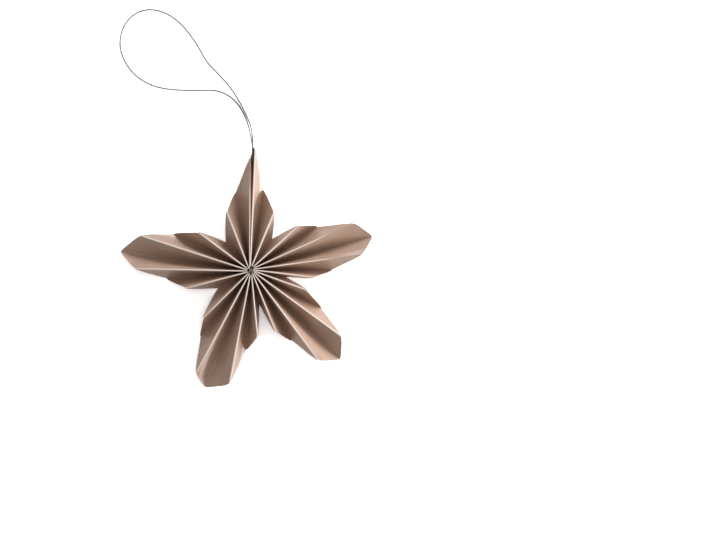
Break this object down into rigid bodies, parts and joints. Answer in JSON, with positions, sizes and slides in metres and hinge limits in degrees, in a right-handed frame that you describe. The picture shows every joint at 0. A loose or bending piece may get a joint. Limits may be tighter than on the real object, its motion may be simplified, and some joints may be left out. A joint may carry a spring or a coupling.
{
  "type": "paper star",
  "caption": "Pleated paper star with pointed arms, folded from a strip and glued into a ring, with a thin metallic cord loop to hang it by.",
  "frame": {"origin": "centre of the hub's small hole, on the surface under the star", "axes": "+Z out of the star's face, +Y along the arm with the glued seam, towards the hanging cord"},
  "size_m": [0.1263, 0.1891, 0.01],
  "materials": {
    "paper": "dusty rose-brown craft paper, matt, with a faint fibre grain",
    "metallic_cord": "twisted silver-grey metallic thread"
  },
  "bodies": {
    "root": {"pleated_star": "paper", "hanging_cord": "metallic_cord"}
  },
  "joints": []
}
